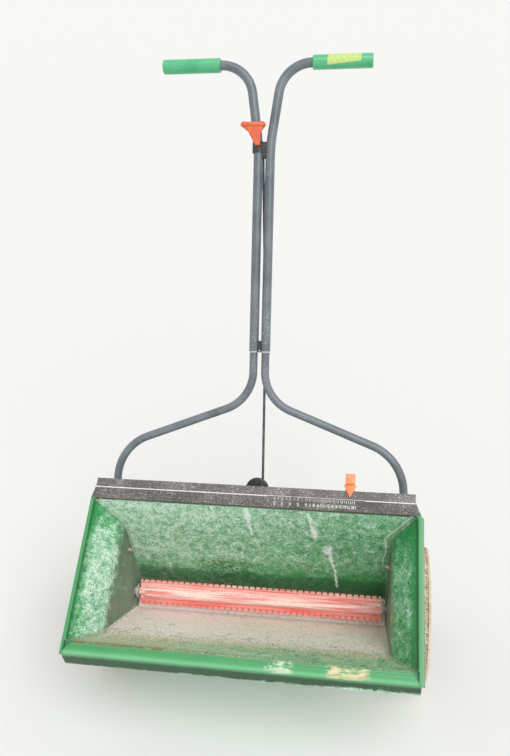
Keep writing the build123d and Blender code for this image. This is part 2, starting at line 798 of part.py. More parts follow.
# Shutter lever: a wire from the crank down the rear wall, with its end in the shutter's stud
lever_s = wall_meeting_s(-rod_back, lever_grow)
with BuildLine() as lever_route:
    FilletPolyline(
        handle_point(lever_x, crank_s - lever_pin_drop, -rod_back),
        side_point(lever_x, *handle_ab(lever_s, -rod_back)),
        side_point(lever_x, rear_a(lever_low_b, lever_grow), lever_low_b),
        side_point(lever_x, shutter_a - lever_hook, lever_low_b),
        radius=lever_bend_radius,
    )
save(tube_along(lever_route.wires()[0], lever_dia, 0), "shutter_lever")

# Rate pointer: an arrow on the panel's shelf, a thumb block behind it, and a leg that hooks under the ledge
pointer_tip_a = ridge_a + pointer_setback
head_a = pointer_tip_a + pointer_length
leg_a = shelf_a + seat_clearance
leg_low_b = ridge_b - ledge_skirt - seat_clearance - pointer_leg
with BuildPart() as rate_pointer:
    with BuildSketch(floor_plane.offset(ridge_b + seat_clearance)):
        with BuildLine():
            Polyline(
                (pointer_x, pointer_tip_a),
                (pointer_x + pointer_width / 2, head_a),
                (pointer_x - pointer_width / 2, head_a),
                close=True,
            )
        make_face()
    extrude(amount=pointer_thickness)
    with BuildSketch(floor_plane.offset(ridge_b + seat_clearance)):
        with Locations((pointer_x, head_a + thumb_length / 2)):
            Rectangle(thumb_width, thumb_length)
    extrude(amount=thumb_height)
    fillet(rate_pointer.faces().sort_by(floor_axis)[-1].edges(), radius=thumb_edge_radius)
    with BuildSketch(side_plane.offset(pointer_x)):
        with BuildLine():
            Polyline(
                (leg_a, ridge_b + seat_clearance),
                (leg_a + pointer_leg, ridge_b + seat_clearance),
                (leg_a + pointer_leg, leg_low_b),
                (leg_a - pointer_hook, leg_low_b),
                (leg_a - pointer_hook, leg_low_b + pointer_leg),
                (leg_a, leg_low_b + pointer_leg),
                close=True,
            )
        make_face()
    extrude(amount=thumb_width / 2, both=True)
save(rate_pointer, "rate_pointer")

# Rest stand: one bent rod that lies on the rear wall and reaches back to the ground
stand_r = stand_dia / 2
stand_gap = stand_r + seat_clearance


def stand_wall_point(x, b):
    """The rod's centre where it lies against the rear wall at height b."""
    return side_point(x, rear_a(b, hopper_wall + stand_gap), b)


with BuildLine() as stand_route:
    foot_y = axle_y + stand_reach
    FilletPolyline(
        stand_wall_point(-stand_half, stand_top_b),
        stand_wall_point(-stand_half, stand_knee_b),
        (-stand_half, foot_y, stand_r),
        (stand_half, foot_y, stand_r),
        stand_wall_point(stand_half, stand_knee_b),
        stand_wall_point(stand_half, stand_top_b),
        radius=stand_bend_radius,
    )
save(tube_along(stand_route.wires()[0], stand_dia, 0), "rest_stand")

# Saddles over the stand's rod, with an ear each side flat on the wall
for name, side in (("stand_saddle_left", -1), ("stand_saddle_right", 1)):
    seat = stand_wall_point(side * stand_half, saddle_b - saddle_length / 2)
    run = stand_wall_point(side * stand_half, saddle_b) - seat
    outer_r = stand_gap + saddle_thickness
    with BuildPart() as saddle:
        with BuildSketch(Plane(origin=seat, x_dir=(1, 0, 0), z_dir=run)):
            Circle(outer_r)
            with Locations((0, -stand_gap / 2)):
                Rectangle(2 * outer_r, stand_gap)
            with Locations((0, -stand_gap + saddle_thickness / 2)):
                Rectangle(2 * (outer_r + saddle_ear), saddle_thickness)
            Circle(stand_gap, mode=Mode.SUBTRACT)
            with Locations((0, -stand_gap / 2 - outer_r / 2)):
                Rectangle(2 * stand_gap, stand_gap + outer_r, mode=Mode.SUBTRACT)
            with Locations((0, -stand_gap - outer_r)):
                Rectangle(4 * outer_r, 2 * outer_r, mode=Mode.SUBTRACT)
        extrude(amount=saddle_length)
    save(saddle, name)
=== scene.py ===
from math import cos, hypot, pi, radians, sin, tan

import bpy
from mathutils import Matrix, Vector


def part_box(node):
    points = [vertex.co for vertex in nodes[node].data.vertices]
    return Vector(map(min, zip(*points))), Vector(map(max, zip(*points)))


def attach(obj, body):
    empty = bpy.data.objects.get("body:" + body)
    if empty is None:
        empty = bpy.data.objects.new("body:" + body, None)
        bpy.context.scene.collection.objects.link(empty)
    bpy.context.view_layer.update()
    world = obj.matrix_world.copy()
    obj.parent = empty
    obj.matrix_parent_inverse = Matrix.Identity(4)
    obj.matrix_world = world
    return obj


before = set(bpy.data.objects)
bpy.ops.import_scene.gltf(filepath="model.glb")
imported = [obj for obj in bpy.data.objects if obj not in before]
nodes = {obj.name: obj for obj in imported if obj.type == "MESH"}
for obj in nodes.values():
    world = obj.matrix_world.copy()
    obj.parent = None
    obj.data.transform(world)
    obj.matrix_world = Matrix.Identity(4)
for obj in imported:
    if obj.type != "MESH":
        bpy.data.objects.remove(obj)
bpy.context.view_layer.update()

mm = 0.001

# Hopper: one moulding of green polypropylene, with end walls that flare to the rim, a rolled lip in front
# and a ledge behind. A chalky film and white grains cling to its inside, tan seed dust lies on the front
# wall and the floor, dirt has gathered along the lip, and the dark specks in the corners are dirt and
# painted shade.
rim_lean = radians(29.5)
front_draft = radians(24.0)
rear_draft = radians(21.2)
trough_radius = 37.5
rim_height = 223.5
end_half = 262.5
fold_height = 157.0
flare_slope = 0.66
axle_middle = (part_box("axle")[0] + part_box("axle")[1]) / 2
back_along_rim = Vector((0, cos(rim_lean), sin(rim_lean)))
up_from_floor = Vector((0, -sin(rim_lean), cos(rim_lean)))


def linear(colour):
    """An sRGB hex colour as the linear values that a socket takes."""
    parts = [int(colour[start:start + 2], 16) / 255 for start in (1, 3, 5)]
    return [part / 12.92 if part <= 0.04045 else ((part + 0.055) / 1.055) ** 2.4 for part in parts] + [1.0]


# Settings for a MapRange node that eases in and out, and for a Mix node that takes colours
smooth = {"interpolation_type": "SMOOTHSTEP"}
colours = {"data_type": "RGBA"}


def add(tree, kind, inputs=(), output=None, **settings):
    """Add a node, set or link its inputs by name or else in their order, and give back an output."""
    made = tree.nodes.new("ShaderNode" + kind)
    for name, value in settings.items():
        setattr(made, name, value)
    shown = [socket for socket in made.inputs if socket.enabled]
    named = inputs.items() if isinstance(inputs, dict) else enumerate(inputs)
    for place, value in named:
        socket = shown[place] if isinstance(place, int) else made.inputs[place]
        if isinstance(value, bpy.types.NodeSocket):
            tree.links.new(value, socket)
        else:
            socket.default_value = value
    if output:
        return made.outputs[output]
    return next((socket for socket in made.outputs if socket.enabled), None)


def start_material(name, values):
    """A material with one Principled shader, and its uniform values on the shader's own sockets."""
    made = bpy.data.materials.new(name)
    made.use_nodes = True
    for socket, value in values.items():
        made.node_tree.nodes["Principled BSDF"].inputs[socket].default_value = value
    return made


def connect(material, **outputs):
    """Link what varies over the surface to the shader: colour, roughness or normal."""
    shader = material.node_tree.nodes["Principled BSDF"]
    for name, output in outputs.items():
        socket = {"colour": "Base Color", "roughness": "Roughness", "normal": "Normal"}[name]
        material.node_tree.links.new(output, shader.inputs[socket])


def dress(material, *names):
    """Put a material in every slot of those CAD nodes."""
    for name in names:
        for place in nodes[name].material_slots:
            place.material = material


def hopper_point(x, a, b):
    """A point in metres, from the hopper's millimetres: x across, a back along the rim, b square to it."""
    return axle_middle + Vector((x, 0, 0)) * mm + (back_along_rim * a + up_from_floor * b) * mm


def cloud(tree, place, size, detail=4.0, roughness=0.6, distortion=0.0):
    """Noise with patches of that size in mm, spread to run from 0 to 1."""
    noise = add(tree, "TexNoise", {
        "Vector": place, "Scale": 1 / size,
        "Detail": detail, "Roughness": roughness, "Distortion": distortion,
    })
    return add(tree, "MapRange", {"Value": noise, "From Min": 0.3, "From Max": 0.7})


def speckle(tree, place, size, density, edge=0.12):
    """A mask of specks of that size in mm, closer together where density nears 1."""
    raised = add(tree, "Math", (cloud(tree, place, size, 3.0, 0.65), density), operation="ADD")
    return add(tree, "MapRange", (raised, 1 - edge, 1 + edge), **smooth)


def band(tree, value, start, full, fade, end):
    """A mask that rises where the value goes from start to full, and falls from fade to end."""
    rise = add(tree, "MapRange", (value, start, full), **smooth)
    fall = add(tree, "MapRange", (value, end, fade), **smooth)
    return add(tree, "Math", (rise, fall), operation="MULTIPLY")


def apart(tree, first, second):
    """How far apart two values are."""
    difference = add(tree, "Math", (first, second), operation="SUBTRACT")
    return add(tree, "Math", (difference,), operation="ABSOLUTE")


def stain(tree, base, colour, mask, strength):
    """A colour laid over the base where the mask is, and never stronger than that."""
    share = add(tree, "Math", (mask, strength), operation="MULTIPLY")
    return add(tree, "Mix", (share, base, linear(colour)), **colours)


# Moulded polypropylene: waxy and half matt, in two greens where the sun has bleached it.
moulded_polypropylene = start_material("moulded_polypropylene", {"IOR": 1.49})
tree = moulded_polypropylene.node_tree
position = add(tree, "TexCoord", output="Object")
normal = add(tree, "TexCoord", output="Normal")
to_axle = -Vector((0, axle_middle.dot(back_along_rim), axle_middle.dot(up_from_floor))) / mm
place = add(tree, "Mapping", {
    "Vector": position, "Location": to_axle,
    "Rotation": (-rim_lean, 0, 0), "Scale": (1 / mm, 1 / mm, 1 / mm),
})
facing = add(tree, "Mapping", {"Vector": normal, "Rotation": (-rim_lean, 0, 0)}, vector_type="NORMAL")
across = add(tree, "SeparateXYZ", {"Vector": place}, output="X")
back = add(tree, "SeparateXYZ", {"Vector": place}, output="Y")
height = add(tree, "SeparateXYZ", {"Vector": place}, output="Z")
facing_across = add(tree, "SeparateXYZ", {"Vector": facing}, output="X")
faces_across = add(tree, "Math", (facing_across,), operation="ABSOLUTE")
faces_back = add(tree, "SeparateXYZ", {"Vector": facing}, output="Y")
faces_up = add(tree, "SeparateXYZ", {"Vector": facing}, output="Z")
sideways = add(tree, "Math", (across,), operation="ABSOLUTE")

# Which wall a point is on: inside faces look towards the middle of the hopper
middle = hopper_point(0, 0, rim_height / 2)
to_middle = add(tree, "VectorMath", {0: middle, 1: position}, operation="SUBTRACT")
towards = add(tree, "VectorMath", {0: to_middle, 1: normal}, output="Value", operation="DOT_PRODUCT")
below_rim = add(tree, "MapRange", (height, rim_height - 1.0, rim_height - 3.0), **smooth)
faces_middle = add(tree, "Math", (towards, 0.0), operation="GREATER_THAN")
inside = add(tree, "Math", (faces_middle, below_rim), operation="MULTIPLY")
end_facing = add(tree, "MapRange", (faces_across, 0.5, 0.7), **smooth)
on_end = add(tree, "Math", (inside, end_facing), operation="MULTIPLY")
rear_facing = add(tree, "MapRange", (faces_back, -0.5, -0.8), **smooth)
on_rear = add(tree, "Math", (inside, rear_facing), operation="MULTIPLY")
front_facing = add(tree, "MapRange", (faces_back, 0.3, 0.7), **smooth)
on_front = add(tree, "Math", (inside, front_facing), operation="MULTIPLY")
floor_facing = add(tree, "MapRange", (faces_up, 0.6, 0.9), **smooth)
on_floor = add(tree, "Math", (inside, floor_facing), operation="MULTIPLY")
flare_facing = add(tree, "MapRange", (faces_up, 0.15, 0.4), **smooth)
on_flare = add(tree, "Math", (on_end, flare_facing), operation="MULTIPLY")

# Distance from the nearest upright corner, where two walls meet
above_fold = add(tree, "Math", (height, fold_height), operation="SUBTRACT")
beyond_fold = add(tree, "Math", (above_fold, 0.0), operation="MAXIMUM")
end_line = add(tree, "Math", (beyond_fold, flare_slope, end_half), operation="MULTIPLY_ADD")
end_gap = apart(tree, end_line, sideways)
rear_foot = trough_radius / cos(rear_draft)
rear_line = add(tree, "Math", (height, tan(rear_draft), rear_foot), operation="MULTIPLY_ADD")
rear_gap = apart(tree, rear_line, back)
front_foot = -trough_radius / cos(front_draft)
front_line = add(tree, "Math", (height, -tan(front_draft), front_foot), operation="MULTIPLY_ADD")
front_gap = apart(tree, front_line, back)
wall_gap = add(tree, "Math", (rear_gap, front_gap), operation="MINIMUM")
corner_gap = add(tree, "Math", (end_gap, wall_gap), operation="ADD")

# Greens: bleached patches about a hand wide
patches = cloud(tree, place, 70.0)
green = add(tree, "Mix", (patches, linear("#2E8B4B"), linear("#47AC68")), **colours)
smears = cloud(tree, place, 15.0, 7.0, 0.74, 0.4)
swing = add(tree, "Math", (smears, 0.5), operation="SUBTRACT")

# Chalky film, thin over the green: heavier to the top and the left, rubbed off low on the rear wall
film_low = add(tree, "MapRange", (height, 5.0, 75.0, 0.14, 0.5), **smooth)
film_top = add(tree, "MapRange", (height, 120.0, 222.0, 0.0, 0.16), **smooth)
film_rear = add(tree, "Math", (film_low, film_top), operation="ADD")
film_end = add(tree, "MapRange", (back, 110.0, 40.0, 0.1, 0.54), **smooth)
thin_forward = add(tree, "MapRange", (back, 10.0, -130.0, 0.0, 0.16), **smooth)
film_end = add(tree, "Math", (film_end, thin_forward), operation="SUBTRACT")
thin_top = add(tree, "MapRange", (height, 200.0, 216.0, 0.0, 0.4), **smooth)
film_end = add(tree, "Math", (film_end, thin_top), operation="SUBTRACT")
film_level = add(tree, "Mix", (on_end, film_rear, film_end))
film_left = add(tree, "MapRange", (across, 270.0, -270.0, -0.22, 0.1), **smooth)
film_level = add(tree, "Math", (film_level, film_left), operation="ADD")
film_level = add(tree, "Math", (swing, 0.95, film_level), operation="MULTIPLY_ADD")
film_foot = add(tree, "MapRange", (height, 196.0, 184.0, 0.0, 0.45), **smooth)
film_right = add(tree, "MapRange", (across, 0.0, 280.0, 0.02, 0.3), **smooth)
film_out = add(tree, "Math", (film_foot, film_right), operation="ADD")
film_out = add(tree, "Math", (swing, 0.5, film_out), operation="MULTIPLY_ADD")
below_lip = add(tree, "MapRange", (height, 207.0, 200.0), **smooth)
film_out = add(tree, "Math", (film_out, below_lip), operation="MULTIPLY")
film_level = add(tree, "Mix", (inside, film_out, film_level))
film_level = add(tree, "Math", (film_level, 0.0), operation="MAXIMUM")
film_share = add(tree, "Math", (film_level, 0.85), operation="MINIMUM")
filmed = add(tree, "Mix", (film_share, green, linear("#BCE2C6")), **colours)

# White grains of fertiliser. The real ones are half a millimetre, and these are coarser, so that they show.
grain_size = 2.4
grain_level = add(tree, "Math", (film_level, 0.7, -0.05), operation="MULTIPLY_ADD")
grains = speckle(tree, place, grain_size, grain_level, 0.1)
grained = stain(tree, filmed, "#E8F7EC", grains, 0.9)
pit_level = add(tree, "MapRange", (film_level, 0.0, 0.9, 0.34, 0.18), **smooth)
pits = speckle(tree, place, 3.4, pit_level, 0.1)
grained = stain(tree, grained, "#1C6836", pits, 0.75)

# Deep green swirls low on the rear wall, where a hand has wiped it
swirl_place = cloud(tree, place, 34.0, 2.0, 0.5, 2.2)
swirl_gap = apart(tree, swirl_place, 0.5)
swirl_line = add(tree, "MapRange", (swirl_gap, 0.16, 0.03), **smooth)
swirl_reach = band(tree, across, -150.0, -90.0, -30.0, 20.0)
swirl_height = add(tree, "MapRange", (height, 72.0, 48.0), **smooth)
swirl_reach = add(tree, "Math", (swirl_reach, swirl_height), operation="MULTIPLY")
swirl_mask = add(tree, "Math", (swirl_line, swirl_reach), operation="MULTIPLY")
swirls = add(tree, "Math", (swirl_mask, on_rear), operation="MULTIPLY")
grained = stain(tree, grained, "#1C6A34", swirls, 0.9)

# The skirt below the lip is a deep green where it has little film:
# partly its own colour, partly painted shade
skirt_front = add(tree, "MapRange", (back, -157.0, -160.0), **smooth)
skirt_height = add(tree, "MapRange", (height, 212.0, 203.0), **smooth)
on_skirt = add(tree, "Math", (skirt_front, skirt_height), operation="MULTIPLY")
unfilmed = add(tree, "MapRange", (film_out, 0.75, 0.3, 0.0, 1.0), **smooth)
skirt_green_and_shade = add(tree, "Math", (on_skirt, unfilmed), operation="MULTIPLY")
grained = add(tree, "Mix", (skirt_green_and_shade, grained, linear("#07421A")), **colours)

# The lip and the hems are rubbed clean, with a painted highlight along their crest where they face up and
# forward, and a painted shade line inside the hems
outside = add(tree, "Math", (1.0, inside), operation="SUBTRACT")
near_rim = add(tree, "MapRange", (height, 208.0, 213.0), **smooth)
rubbed = add(tree, "Math", (outside, near_rim), operation="MULTIPLY")
off_crest = apart(tree, faces_up, 0.62)
hem_side = add(tree, "MapRange", (sideways, 305.5, 308.5), **smooth)
hem_front = add(tree, "MapRange", (back, -128.0, -136.0), **smooth)
outer_edge = add(tree, "Math", (hem_side, hem_front), operation="MAXIMUM")
# Painted highlight: lighter green where the lip's roll and the hems face up and forward
crest_highlight_share = add(tree, "MapRange", (off_crest, 0.5, 0.1), **smooth)
crest_highlight = add(tree, "Math", (crest_highlight_share, outer_edge), operation="MULTIPLY")
lip_green_and_highlight = add(tree, "Mix", (crest_highlight, linear("#2A8544"), linear("#7FCC95")), **colours)
rubbed_share = add(tree, "Math", (rubbed, 0.8), operation="MULTIPLY")
grained = add(tree, "Mix", (rubbed_share, grained, lip_green_and_highlight), **colours)
# Painted shade: a dark green line inside the hems
hem_height = add(tree, "MapRange", (height, 214.0, 219.0), **smooth)
hem_shade_line = add(tree, "Math", (on_flare, hem_height), operation="MULTIPLY")
grained = stain(tree, grained, "#1F5A30", hem_shade_line, 0.8)

# Low on the rear wall, behind the agitator's teeth, the green is darker towards the floor
low_rear_height = add(tree, "MapRange", (height, 30.0, 12.0, 0.0, 0.45), **smooth)
low_rear_darkening = add(tree, "Math", (on_rear, low_rear_height), operation="MULTIPLY")
grained = add(tree, "Mix", (low_rear_darkening, grained, linear("#23492D")), **colours)

# Low on the end walls the film is olive with old seed dust
low_height = add(tree, "Math", (swing, 40.0, height), operation="MULTIPLY_ADD")
low_share = add(tree, "MapRange", (low_height, 166.0, 130.0), **smooth)
low_end = add(tree, "Math", (on_end, low_share), operation="MULTIPLY")
end_place = add(tree, "Mapping", {"Vector": place, "Scale": (1.0, 1.0, 0.45)})
end_streaks = cloud(tree, end_place, 20.0, 5.0, 0.7)
olive_level = add(tree, "MapRange", (end_streaks, 0.2, 0.8, 0.6, 0.95), **smooth)
olive = add(tree, "Math", (low_end, olive_level), operation="MULTIPLY")
olive_tone = add(tree, "MapRange", (end_streaks, 0.25, 0.8), **smooth)
end_olive = add(tree, "Mix", (olive_tone, linear("#394D38"), linear("#808A76")), **colours)
grained = add(tree, "Mix", (olive, grained, end_olive), **colours)

# Seed dust: pinkish white on the floor, tan and thinner towards the lip, and worn through in places
dust_height = add(tree, "MapRange", (height, 108.0, 206.0, 1.04, 0.42), **smooth)
dust_level = add(tree, "Math", (swing, 0.85, dust_height), operation="MULTIPLY_ADD")
dust_left = add(tree, "MapRange", (across, -200.0, 40.0, 0.1, -0.14), **smooth)
dust_level = add(tree, "Math", (dust_level, dust_left), operation="ADD")
dust_grains = speckle(tree, place, grain_size, dust_level, 0.22)
on_dusty = add(tree, "Math", (on_front, on_floor), operation="MAXIMUM")
dust = add(tree, "Math", (on_dusty, dust_grains), operation="MULTIPLY")
tan_height = add(tree, "Math", (swing, 90.0, height), operation="MULTIPLY_ADD")
tan_share = add(tree, "MapRange", (tan_height, 110.0, 215.0), **smooth)
pale_tone = add(tree, "MapRange", (across, -170.0, 0.0), **smooth)
pale_dust = add(tree, "Mix", (pale_tone, linear("#FFEFEA"), linear("#F4E7DE")), **colours)
dust_colour = add(tree, "Mix", (tan_share, pale_dust, linear("#C8BE94")), **colours)
mottle_level = add(tree, "MapRange", (height, 60.0, 210.0, 0.2, 0.5), **smooth)
mottle = speckle(tree, place, 4.0, mottle_level, 0.18)
dust_colour = stain(tree, dust_colour, "#8B7F5E", mottle, 0.6)
smudge_place = add(tree, "Mapping", {"Vector": place, "Scale": (0.5, 1.0, 1.0)})
smudge_level = add(tree, "MapRange", (height, 30.0, 120.0, 0.04, 0.2), **smooth)
smudges = speckle(tree, smudge_place, 11.0, smudge_level, 0.12)
dust_colour = stain(tree, dust_colour, "#6F775A", smudges, 0.5)
dusted = add(tree, "Mix", (dust, grained, dust_colour), **colours)

# Brown dirt under the lip's inner edge, thickest at the left, and dark specks in the corners, which are
# dirt and painted shade
lip_height = add(tree, "MapRange", (height, 198.0, 216.0), **smooth)
under_lip = add(tree, "Math", (on_front, lip_height), operation="MULTIPLY")
lip_left = add(tree, "MapRange", (across, 100.0, -250.0, 0.3, 0.75), **smooth)
lip_level = add(tree, "Math", (swing, 0.8, lip_left), operation="MULTIPLY_ADD")
lip_specks = speckle(tree, place, 4.5, lip_level, 0.4)
lip_dirt = add(tree, "Math", (under_lip, lip_specks), operation="MULTIPLY")
dirtied = add(tree, "Mix", (lip_dirt, dusted, linear("#857A4E")), **colours)
# Corner specks: dirt and painted shade
corner_level = add(tree, "MapRange", (corner_gap, 11.0, 2.0, 0.0, 0.72), **smooth)
corner_specks = speckle(tree, place, 3.0, corner_level, 0.5)
corner_dirt_and_shade = add(tree, "Math", (inside, corner_specks), operation="MULTIPLY")
corner_reach = add(tree, "MapRange", (corner_gap, 12.0, 7.0), **smooth)
corner_dirt_and_shade = add(tree, "Math", (corner_dirt_and_shade, corner_reach), operation="MULTIPLY")
dirtied = stain(tree, dirtied, "#4C6043", corner_dirt_and_shade, 0.6)

# A dark line where the panel meets the rear wall: dirt in the joint and painted shade under the panel's
# edge
behind_rim = add(tree, "Math", (back, 50.0), operation="GREATER_THAN")
under_panel = add(tree, "Math", (rear_facing, behind_rim), operation="MULTIPLY")
joint_level = add(tree, "Math", (swing, 4.0, height), operation="MULTIPLY_ADD")
joint_height = add(tree, "MapRange", (joint_level, 217.8, 220.8), **smooth)
joint_dirt_and_shade = add(tree, "Math", (under_panel, joint_height), operation="MULTIPLY")
dirtied = stain(tree, dirtied, "#34372C", joint_dirt_and_shade, 0.85)

# A pale scratch on the rear wall beside each corner
scratch_wander = add(tree, "Math", (patches, 9.0, 7.0), operation="MULTIPLY_ADD")
scratch_gap = apart(tree, end_gap, scratch_wander)
scratch_width = add(tree, "MapRange", (scratch_gap, 2.2, 0.6), **smooth)
scratch = add(tree, "Math", (scratch_width, on_rear), operation="MULTIPLY")
scratch_reach = add(tree, "MapRange", (height, 60.0, 90.0, 0.0, 0.7), **smooth)
scratch = add(tree, "Math", (scratch, scratch_reach), operation="MULTIPLY")
dirtied = add(tree, "Mix", (scratch, dirtied, linear("#D8E8D8")), **colours)

# Chalky runs down the rear wall, each as: x and height of its top, the same of its foot, half its width
runs = (
    (-80.0, 219.0, -70.0, 199.0, 2.6),
    (-12.0, 219.0, -7.0, 172.0, 4.4),
    (-7.0, 176.0, -3.0, 136.0, 2.6),
    (105.0, 216.0, 113.0, 176.0, 3.6),
    (113.0, 182.0, 119.0, 140.0, 5.4),
    (143.0, 125.0, 142.0, 92.0, 9.5),
    (144.0, 100.0, 158.0, 38.0, 3.0),
    (156.0, 44.0, 160.0, -10.0, 2.2),
)
wander = add(tree, "Math", (cloud(tree, place, 13.0, 3.0), 6.0, -3.0), operation="MULTIPLY_ADD")
for top_x, top_height, foot_x, foot_height, half_width in runs:
    slant = (foot_x - top_x) / (foot_height - top_height)
    line = add(tree, "Math", (height, slant, top_x - slant * top_height), operation="MULTIPLY_ADD")
    run_offset = add(tree, "Math", (across, line), operation="SUBTRACT")
    offset = add(tree, "Math", (run_offset, wander), operation="ADD")
    run_gap = add(tree, "Math", (offset,), operation="ABSOLUTE")
    width = add(tree, "MapRange", (run_gap, half_width * 1.5, half_width / 3), **smooth)
    length = band(tree, height, foot_height, foot_height + 9.0, top_height - 5.0, top_height)
    run_shape = add(tree, "Math", (width, length), operation="MULTIPLY")
    run = add(tree, "Math", (run_shape, on_rear), operation="MULTIPLY")
    gaps = cloud(tree, place, 5.0)
    run_breaks = add(tree, "MapRange", (gaps, 0.15, 0.6, 0.45, 1.0), **smooth)
    broken = add(tree, "Math", (run, run_breaks), operation="MULTIPLY")
    dirtied = add(tree, "Mix", (broken, dirtied, linear("#EEF6F4")), **colours)

# Lip: clean where hands rub it, with a whitish and a tan patch where something was spilt
lip_patches = ((47.0, 103.0, "#CFE0C4", 0.42), (150.0, 232.0, "#E3CFA6", 0.5))
roll_front = add(tree, "MapRange", (back, -136.0, -141.0), **smooth)
roll_height = add(tree, "MapRange", (height, 212.0, 217.0), **smooth)
on_roll = add(tree, "Math", (roll_front, roll_height), operation="MULTIPLY")
spill_edge = 12.0
for left, right, colour, level in lip_patches:
    span = band(tree, across, left, left + spill_edge, right - spill_edge, right)
    spill_level = add(tree, "Math", (swing, 0.7, level), operation="MULTIPLY_ADD")
    spill_place = add(tree, "Mapping", {"Vector": place, "Scale": (0.35, 1.0, 1.0)})
    spill_specks = speckle(tree, spill_place, 6.0, spill_level, 0.35)
    spill = add(tree, "Math", (spill_specks, on_roll), operation="MULTIPLY")
    spill_share = add(tree, "Math", (spill, span), operation="MULTIPLY")
    dirtied = add(tree, "Mix", (spill_share, dirtied, linear(colour)), **colours)

# Film, grains and dust are matt, and grains and dust stand proud of the moulded grain
coated = add(tree, "Math", (grains, dust), operation="MAXIMUM")
dull = add(tree, "Math", (coated, film_level), operation="MAXIMUM")
matt = add(tree, "MapRange", (dull, 0.1, 0.8, 0.33, 0.8), **smooth)
moulded_grain = cloud(tree, place, 1.6, 2.0)
raised = add(tree, "Math", (coated, moulded_grain), operation="ADD")
relief = add(tree, "Bump", {"Strength": 0.22, "Distance": 0.4 * mm, "Height": raised})
connect(moulded_polypropylene, colour=dirtied, roughness=matt, normal=relief)
dress(moulded_polypropylene, "hopper")

# Scale panel: a strip of dark grey ABS bent over the rear ledge, with a printed line along its ridge and a
# scale of numbers beside the pointer. The print is white ink, a tenth of a millimetre thick.
panel_rise = 14.3
panel_slope_run = 19.5
panel_slope = hypot(panel_rise, panel_slope_run)
ledge_back = rear_foot + rim_height * tan(rear_draft)


def object_millimetres(tree):
    """The object's own coordinates in millimetres."""
    position = add(tree, "TexCoord", output="Object")
    return add(tree, "Mapping", {"Vector": position, "Scale": (1 / mm, 1 / mm, 1 / mm)})


def new_piece(name, points, faces, material, body="frame"):
    """A mesh piece from points in metres that rides on a CAD body."""
    mesh = bpy.data.meshes.new(name)
    mesh.from_pydata([tuple(point) for point in points], [], faces)
    piece = bpy.data.objects.new(name, mesh)
    bpy.context.scene.collection.objects.link(piece)
    mesh.materials.append(material)
    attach(piece, body)
    return piece


def dusty_plastic(name, colour, worn_colour, dust_hex, dust_level, roughness, speck=2.4):
    """A moulded plastic with patches of wear and specks of pale dust."""
    made = start_material(name, {"IOR": 1.5})
    tree = made.node_tree
    place = object_millimetres(tree)
    wear = cloud(tree, place, 30.0, 5.0, 0.65)
    wear_share = add(tree, "MapRange", (wear, 0.25, 0.9), **smooth)
    body = add(tree, "Mix", (wear_share, linear(colour), linear(worn_colour)), **colours)
    level = add(tree, "MapRange", (wear, 0.0, 1.0, dust_level - 0.2, dust_level + 0.2), **smooth)
    specks = speckle(tree, place, speck, level)
    dusted = add(tree, "Mix", (specks, body, linear(dust_hex)), **colours)
    matt = add(tree, "MapRange", (specks, 0.0, 1.0, roughness, 0.9), **smooth)
    fine_grain = cloud(tree, place, 1.2, 2.0)
    relief = add(tree, "Bump", {"Strength": 0.2, "Distance": 0.2 * mm, "Height": fine_grain})
    connect(made, colour=dusted, roughness=matt, normal=relief)
    return made


# Moulded ABS, satin: a brownish grey under dust, with scuffs that run along the strip
satin_abs = start_material("satin_abs", {"IOR": 1.54})
tree = satin_abs.node_tree
place = object_millimetres(tree)
tone = cloud(tree, place, 45.0, 5.0, 0.65)
grey = add(tree, "Mix", (tone, linear("#4F4C4B"), linear("#6C6865")), **colours)
along_strip = add(tree, "Mapping", {"Vector": place, "Scale": (1 / 30.0, 1 / 1.6, 1 / 1.6)})
scuffs = add(tree, "MapRange", (cloud(tree, along_strip, 1.0, 3.0), 0.72, 0.95, 0.0, 0.5), **smooth)
scuffed = add(tree, "Mix", (scuffs, grey, linear("#A39D98")), **colours)
panel_specks = add(tree, "MapRange", (tone, 0.0, 1.0, 0.16, 0.42), **smooth)
panel_dust = speckle(tree, place, 2.6, panel_specks, 0.14)
panel_colour = stain(tree, scuffed, "#C4BEB8", panel_dust, 0.7)
panel_matt = add(tree, "MapRange", (panel_dust, 0.0, 1.0, 0.42, 0.85), **smooth)
panel_texture = cloud(tree, place, 1.4, 2.0)
panel_grain = add(tree, "Bump", {"Strength": 0.25, "Distance": 0.2 * mm, "Height": panel_texture})
connect(satin_abs, colour=panel_colour, roughness=panel_matt, normal=panel_grain)
dress(satin_abs, "scale_panel")

# Screen ink: flat white, rubbed thin in places
screen_ink = start_material("screen_ink", {"Roughness": 0.6})
tree = screen_ink.node_tree
rubbed_ink = add(tree, "MapRange", (cloud(tree, object_millimetres(tree), 6.0), 0.6, 1.0), **smooth)
ink_colour = add(tree, "Mix", (rubbed_ink, linear("#F1F0EC"), linear("#A09C98")), **colours)
connect(screen_ink, colour=ink_colour)

ink_thickness = 0.12
slope_back = panel_slope_run / panel_slope
slope_up = panel_rise / panel_slope


def slope_point(x, below_ridge, lift=ink_thickness):
    """A point on the panel's sloped face, that far below its ridge."""
    up_slope = panel_slope - below_ridge
    a = ledge_back + up_slope * slope_back - lift * slope_up
    b = rim_height + up_slope * slope_up + lift * slope_back
    return hopper_point(x, a, b)


def printed_bars(name, bars):
    """Bars of ink on the slope, each as: left x, right x, top and foot below the ridge."""
    points = []
    faces = []
    for left, right, top, foot in bars:
        for lift in (ink_thickness, -ink_thickness):
            points += [
                slope_point(left, top, lift), slope_point(right, top, lift),
                slope_point(right, foot, lift), slope_point(left, foot, lift),
            ]
        first = len(points) - 8
        faces += [[first + corner for corner in face] for face in (
            (3, 2, 1, 0), (4, 5, 6, 7), (0, 1, 5, 4), (1, 2, 6, 5), (2, 3, 7, 6), (3, 0, 4, 7),
        )]
    return new_piece(name, points, faces, screen_ink)


